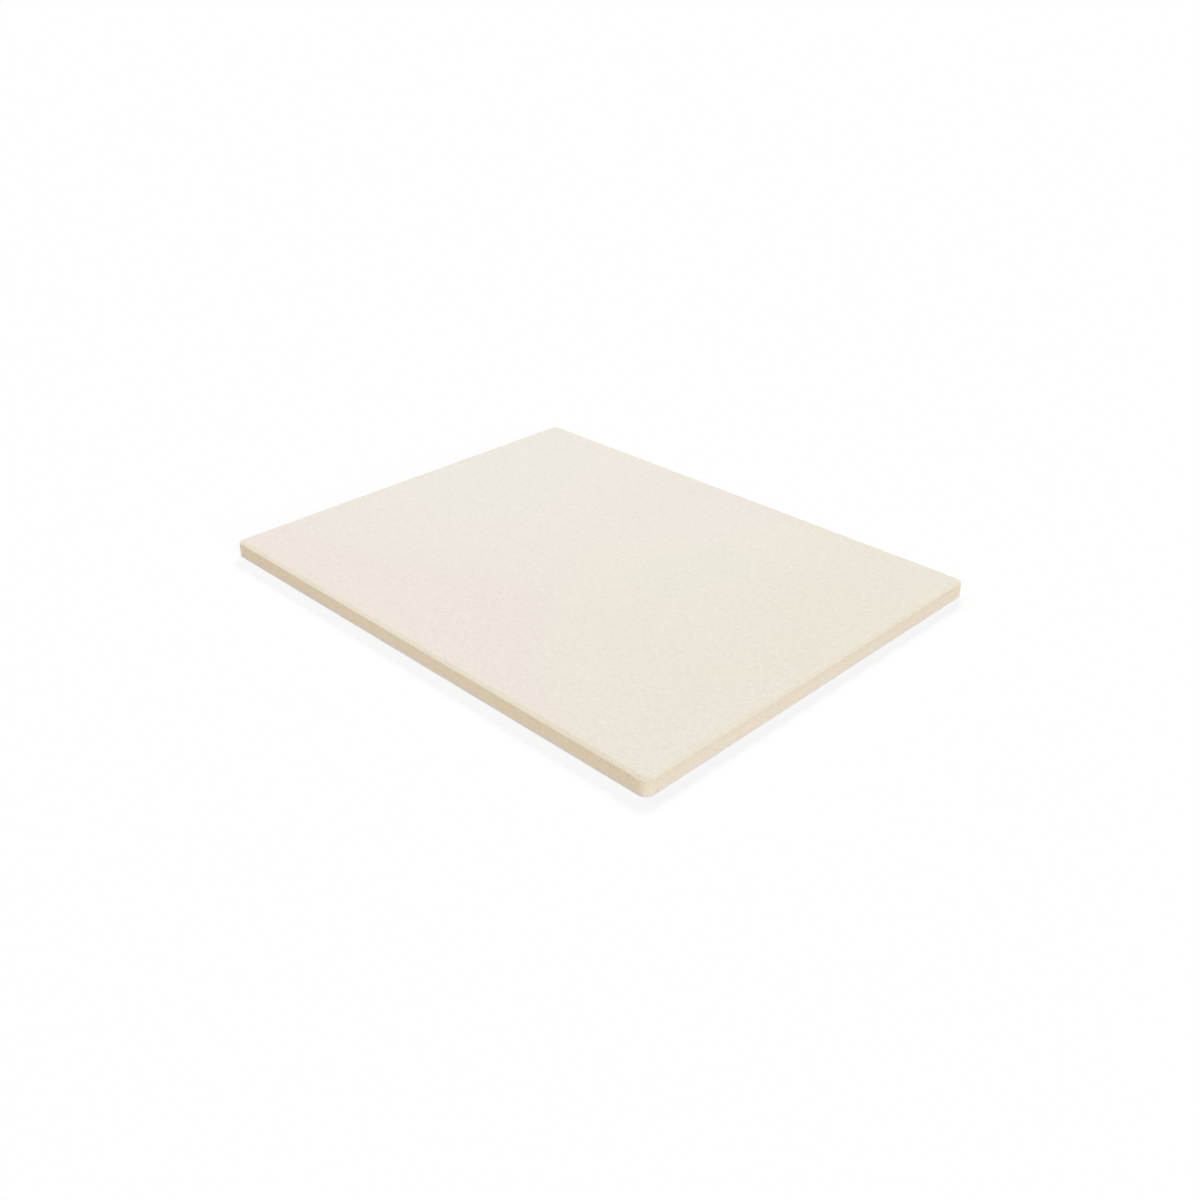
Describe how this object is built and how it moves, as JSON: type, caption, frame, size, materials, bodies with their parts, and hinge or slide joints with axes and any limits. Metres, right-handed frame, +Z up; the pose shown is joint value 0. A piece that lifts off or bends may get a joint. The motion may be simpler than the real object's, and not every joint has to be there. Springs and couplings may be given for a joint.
{
  "type": "pizza stone",
  "caption": "Rectangular ceramic baking slab with a flat top face, a shallow bevel round its rim, rounded corners and a flat underside.",
  "frame": {"origin": "middle of the flat underside", "axes": "+X along the long side, +Y along the short side, +Z up out of the baking face"},
  "size_m": [0.45, 0.353, 0.013],
  "materials": {
    "cordierite": "unglazed fired cordierite, matte and fine-grained, cream with faint tan mottling"
  },
  "bodies": {
    "root": {"stone_slab": "cordierite"}
  },
  "joints": []
}
